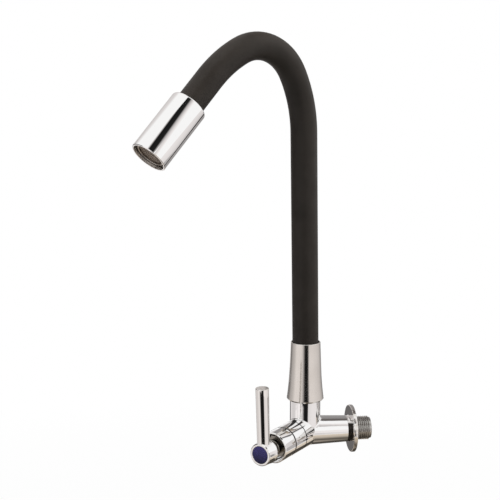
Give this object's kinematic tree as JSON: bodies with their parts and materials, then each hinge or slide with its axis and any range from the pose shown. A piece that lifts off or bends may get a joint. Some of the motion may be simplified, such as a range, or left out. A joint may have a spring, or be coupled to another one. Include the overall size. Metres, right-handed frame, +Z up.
{
  "type": "flexible spout kitchen tap",
  "caption": "Wall-mounted kitchen tap with a quarter-turn pin lever valve and a swivelling black flexible hose spout that ends in a round metal nozzle.",
  "frame": {"origin": "centre of the flange's wall face, where the inlet thread's axis meets the wall", "axes": "+Z up, +Y into the wall along the inlet thread, the tap reaches towards -Y"},
  "size_m": [0.1153, 0.2099, 0.3685],
  "materials": {
    "chrome_casting": "polished chrome plate on cast brass",
    "chrome_turned": "polished chrome plate on turned brass",
    "chrome_handle": "polished chrome plate on zinc",
    "raw_brass": "machined brass",
    "index_blue": "moulded, dark blue",
    "black_silicone": "smooth matte silicone",
    "gooseneck_steel": "wound steel strip",
    "water_hose": "plain",
    "seal_rubber": "moulded black rubber",
    "ceramic": "lapped ceramic",
    "spring_steel": "bright steel",
    "slide_plastic": "natural acetal",
    "aerator_plastic": "grey moulding",
    "screen_steel": "woven steel wire"
  },
  "bodies": {
    "tap_body": {"faucet_body": "chrome_casting", "wall_flange": "chrome_turned", "seat_seal": "seal_rubber", "cartridge_body": "raw_brass", "cartridge_o_ring": "seal_rubber", "fixed_ceramic_disc": "ceramic", "bonnet_cover": "chrome_turned", "swivel_clip": "spring_steel"},
    "handle": {"spindle": "raw_brass", "moving_ceramic_disc": "ceramic", "spindle_o_rings": "seal_rubber", "spindle_clip": "spring_steel", "handle_hub": "chrome_handle", "lever_rod": "chrome_handle", "handle_screw": "spring_steel", "index_button": "index_blue"},
    "spout_base": {"swivel_tail": "raw_brass", "swivel_o_rings": "seal_rubber", "swivel_washer": "slide_plastic", "spout_bell": "chrome_turned", "lower_crimp_ring": "spring_steel", "gooseneck_base": "gooseneck_steel", "silicone_sleeve_lower": "black_silicone", "water_hose_lower": "water_hose"},
    "hose_lower": {"gooseneck_lower": "gooseneck_steel", "silicone_sleeve_middle": "black_silicone", "water_hose_middle": "water_hose"},
    "hose_upper": {"gooseneck_upper": "gooseneck_steel", "silicone_sleeve_arch": "black_silicone", "water_hose_arch": "water_hose"},
    "spout_head": {"gooseneck_head": "gooseneck_steel", "upper_crimp_ring": "spring_steel", "hose_connector": "raw_brass", "nozzle_housing": "chrome_turned", "aerator_washer": "seal_rubber", "aerator_housing": "chrome_turned", "aerator_core": "aerator_plastic", "aerator_screen": "screen_steel"}
  },
  "joints": [
    {"name": "handle_turn", "type": "hinge", "parent": "tap_body", "child": "handle", "pos_m": [0, -0.044, 0], "axis": [0.766, -0.6428, 0], "range_deg": [0, 90]},
    {"name": "spout_swivel", "type": "hinge", "parent": "tap_body", "child": "spout_base", "pos_m": [0, -0.044, 0.04], "axis": [0, 0, 1], "continuous": true},
    {"name": "hose_lower_bend", "type": "hinge", "parent": "spout_base", "child": "hose_lower", "pos_m": [0.0006, -0.04503, 0.12959], "axis": [0.866, 0.5, 0], "range_deg": [-30, 45], "deforming": ["silicone_sleeve_lower", "water_hose_lower"]},
    {"name": "hose_side_bend", "type": "hinge", "parent": "hose_lower", "child": "hose_upper", "pos_m": [0.0015, -0.0466, 0.21957], "axis": [0.5, -0.866, 0], "range_deg": [-30, 30], "deforming": ["silicone_sleeve_middle", "water_hose_middle"]},
    {"name": "hose_upper_bend", "type": "hinge", "parent": "hose_upper", "child": "spout_head", "pos_m": [0.02656, -0.09001, 0.33599], "axis": [0.866, 0.5, 0], "range_deg": [-50, 20], "deforming": ["silicone_sleeve_arch", "water_hose_arch"]}
  ]
}
